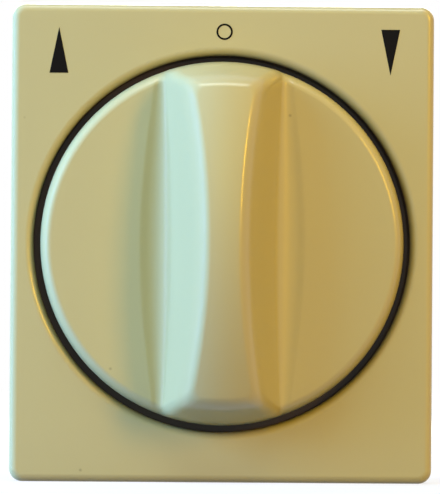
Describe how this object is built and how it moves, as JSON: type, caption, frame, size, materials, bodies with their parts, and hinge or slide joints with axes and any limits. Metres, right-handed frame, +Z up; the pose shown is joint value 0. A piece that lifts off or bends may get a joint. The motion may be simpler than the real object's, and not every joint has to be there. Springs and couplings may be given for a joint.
{
  "type": "rotary wall switch",
  "caption": "Rotary wall switch for blinds: a scooped round knob sunk in a rectangular plate turns from off to up or down, with claw fixing and push-in terminals behind.",
  "frame": {"origin": "midpoint between the two box fixing holes, on the back face of the support ring, in the plane of the wall", "axes": "+X to the right seen from the room, +Y into the wall, +Z up"},
  "size_m": [0.07, 0.0552, 0.079],
  "materials": {
    "cream_plastic": "gloss",
    "spindle_plastic": "satin",
    "rotor_plastic": "satin",
    "housing_plastic": "satin",
    "front_plastic": "satin",
    "button_plastic": "satin",
    "zinc_steel": "satin",
    "spring_steel": "satin",
    "brass": "satin",
    "copper": "satin",
    "silver": "satin"
  },
  "bodies": {
    "housing": {"cover_plate": "cream_plastic", "plate_screws": "zinc_steel", "support_ring": "zinc_steel", "switch_base": "housing_plastic", "mechanism_cover": "front_plastic", "terminal_cover": "housing_plastic", "housing_rivets": "brass", "common_busbar": "brass", "up_busbar": "brass", "down_busbar": "brass", "fixed_contact_rivets": "silver", "up_clamp_spring": "spring_steel", "down_clamp_spring": "spring_steel", "common_clamp_springs": "spring_steel", "left_detent_spring": "spring_steel", "right_detent_spring": "spring_steel"},
    "knob": {"rotary_knob": "cream_plastic", "knob_ring_spring": "spring_steel", "drive_spindle": "spindle_plastic", "spindle_clip": "spring_steel", "rotor": "rotor_plastic", "contact_bridge": "copper", "bridge_contact_rivets": "silver", "bridge_spring": "spring_steel"},
    "up_button": {"up_release_button": "button_plastic"},
    "down_button": {"down_release_button": "button_plastic"},
    "common_button": {"common_release_button": "button_plastic"},
    "left_screw": {"left_claw_screw": "zinc_steel"},
    "right_screw": {"right_claw_screw": "zinc_steel"},
    "left_nut": {"left_claw_nut": "zinc_steel"},
    "right_nut": {"right_claw_nut": "zinc_steel"},
    "left_grip": {"left_claw": "zinc_steel"},
    "right_grip": {"right_claw": "zinc_steel"}
  },
  "joints": [
    {"name": "knob_turn", "type": "hinge", "parent": "housing", "child": "knob", "pos_m": [0, 0, 0], "axis": [0, 1, 0], "range_deg": [-45, 45], "deforming": ["left_detent_spring", "right_detent_spring"]},
    {"name": "up_button_press", "type": "slide", "parent": "housing", "child": "up_button", "axis": [0, -1, 0], "range_m": [0, 0.0015], "stiffness_N_per_m": 1500, "springref_m": -0.0005, "deforming": ["up_clamp_spring"]},
    {"name": "down_button_press", "type": "slide", "parent": "housing", "child": "down_button", "axis": [0, -1, 0], "range_m": [0, 0.0015], "stiffness_N_per_m": 1500, "springref_m": -0.0005, "deforming": ["down_clamp_spring"]},
    {"name": "common_button_press", "type": "slide", "parent": "housing", "child": "common_button", "axis": [0, -1, 0], "range_m": [0, 0.0015], "stiffness_N_per_m": 1500, "springref_m": -0.0005, "deforming": ["common_clamp_springs"]},
    {"name": "left_screw_turn", "type": "hinge", "parent": "housing", "child": "left_screw", "pos_m": [-0.0242, 0, 0], "axis": [0, 1, 0], "range_deg": [0, 2520]},
    {"name": "right_screw_turn", "type": "hinge", "parent": "housing", "child": "right_screw", "pos_m": [0.0242, 0, 0], "axis": [0, 1, 0], "range_deg": [0, 2520]},
    {"name": "left_nut_travel", "type": "slide", "parent": "housing", "child": "left_nut", "axis": [0, -1, 0], "range_m": [0, 0.0049]},
    {"name": "right_nut_travel", "type": "slide", "parent": "housing", "child": "right_nut", "axis": [0, -1, 0], "range_m": [0, 0.0049]},
    {"name": "left_claw_spread", "type": "slide", "parent": "housing", "child": "left_grip", "axis": [-0.5, -0.866, 0], "range_m": [0, 0.00566]},
    {"name": "right_claw_spread", "type": "slide", "parent": "housing", "child": "right_grip", "axis": [0.5, -0.866, 0], "range_m": [0, 0.00566]}
  ],
  "couplings": [
    {"joint": "left_screw_turn", "follows": "left_nut_travel", "rad_per_m": 8976},
    {"joint": "left_claw_spread", "follows": "left_nut_travel", "ratio": 1.1547},
    {"joint": "right_screw_turn", "follows": "right_nut_travel", "rad_per_m": 8976},
    {"joint": "right_claw_spread", "follows": "right_nut_travel", "ratio": 1.1547}
  ]
}
